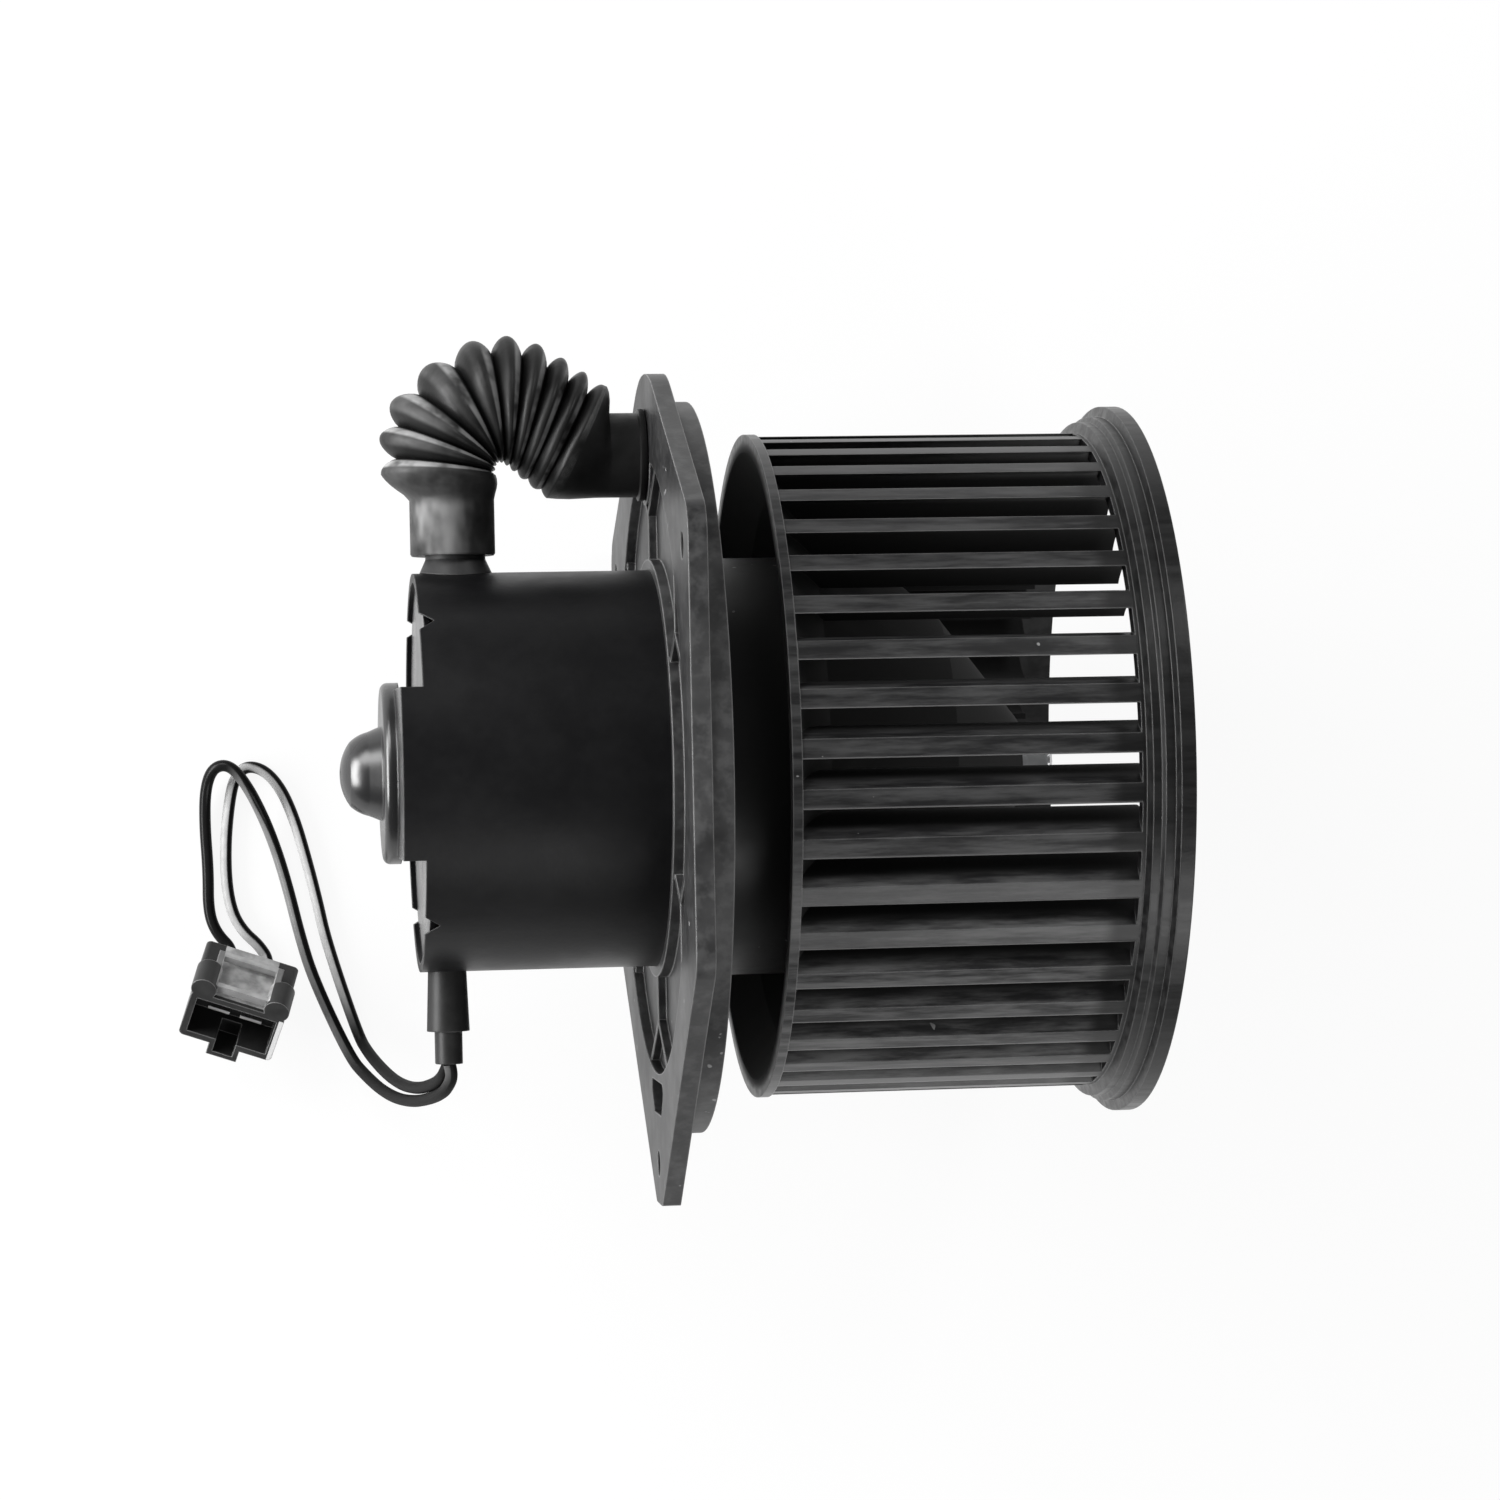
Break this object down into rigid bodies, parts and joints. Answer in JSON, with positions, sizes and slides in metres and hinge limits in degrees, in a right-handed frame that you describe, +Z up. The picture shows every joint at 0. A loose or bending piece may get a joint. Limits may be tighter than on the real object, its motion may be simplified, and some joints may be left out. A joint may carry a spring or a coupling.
{
  "type": "car cabin blower motor",
  "caption": "Ventilation blower: canned motor in a ribbed flange, squirrel cage fan wheel, corrugated cooling hose and a short lead with a plug.",
  "frame": {"origin": "on the motor shaft axis, in the plane of the fan side face of the mounting flange", "axes": "+X along the shaft towards the open inlet of the fan wheel, +Y towards the cooling hose side of the flange, +Z up from the floor the blower lies on, towards the camera of the picture"},
  "size_m": [0.2004, 0.1835, 0.156],
  "materials": {
    "black_painted_steel": "satin",
    "gloss_black_steel": "gloss",
    "black_plastic": "matte",
    "fan_plastic": "satin",
    "hose_rubber": "matte",
    "bright_steel": "machined",
    "zinc_steel": "zinc plated",
    "sintered_bronze": "sintered",
    "felt": "felt",
    "ferrite": "matte",
    "lamination_steel": "stacked",
    "copper": "bare",
    "enamelled_copper": "enamelled",
    "card_board": "laminate",
    "carbon": "matte",
    "wire_insulation": "satin",
    "striped_insulation": "satin with a pale stripe",
    "connector_plastic": "satin",
    "moulded_hub": "matte"
  },
  "bodies": {
    "housing": {"motor_can": "black_painted_steel", "end_plate": "gloss_black_steel", "air_neck": "black_plastic", "cooling_hose": "hose_rubber", "flange": "black_plastic", "motor_screws": "zinc_steel", "rear_bush": "sintered_bronze", "front_bush": "sintered_bronze", "rear_bush_retainer": "bright_steel", "front_bush_retainer": "bright_steel", "front_oil_felt": "felt", "rear_thrust_washer": "moulded_hub", "front_thrust_washer": "moulded_hub", "magnet_upper": "ferrite", "magnet_lower": "ferrite", "magnet_clip_hose_side": "bright_steel", "magnet_clip_lead_side": "bright_steel", "brush_card": "card_board", "brush_holder_upper": "sintered_bronze", "brush_holder_lower": "sintered_bronze", "brush_spring_upper": "bright_steel", "brush_spring_lower": "bright_steel", "choke_upper": "enamelled_copper", "choke_lower": "enamelled_copper", "lead_boot": "hose_rubber", "lead_wire_striped": "striped_insulation", "lead_wire_plain": "wire_insulation", "connector_housing": "connector_plastic", "connector_terminals": "zinc_steel"},
    "rotor": {"fan_wheel": "fan_plastic", "fan_washer": "zinc_steel", "fan_nut": "zinc_steel", "shaft": "bright_steel", "rear_spacer": "bright_steel", "front_spacer": "bright_steel", "armature_core": "lamination_steel", "armature_windings": "enamelled_copper", "commutator_hub": "moulded_hub", "commutator_bars": "copper"},
    "brush_upper_slider": {"brush_upper": "carbon"},
    "brush_lower_slider": {"brush_lower": "carbon"}
  },
  "joints": [
    {"name": "rotor_spin", "type": "hinge", "parent": "housing", "child": "rotor", "pos_m": [0, 0, 0], "axis": [1, 0, 0], "continuous": true},
    {"name": "brush_upper_slide", "type": "slide", "parent": "housing", "child": "brush_upper_slider", "axis": [0, 0, 1], "range_m": [0, 0.003], "stiffness_N_per_m": 150, "springref_m": -0.01, "deforming": ["brush_spring_upper"]},
    {"name": "brush_lower_slide", "type": "slide", "parent": "housing", "child": "brush_lower_slider", "axis": [0, 0, -1], "range_m": [0, 0.003], "stiffness_N_per_m": 150, "springref_m": -0.01, "deforming": ["brush_spring_lower"]}
  ]
}
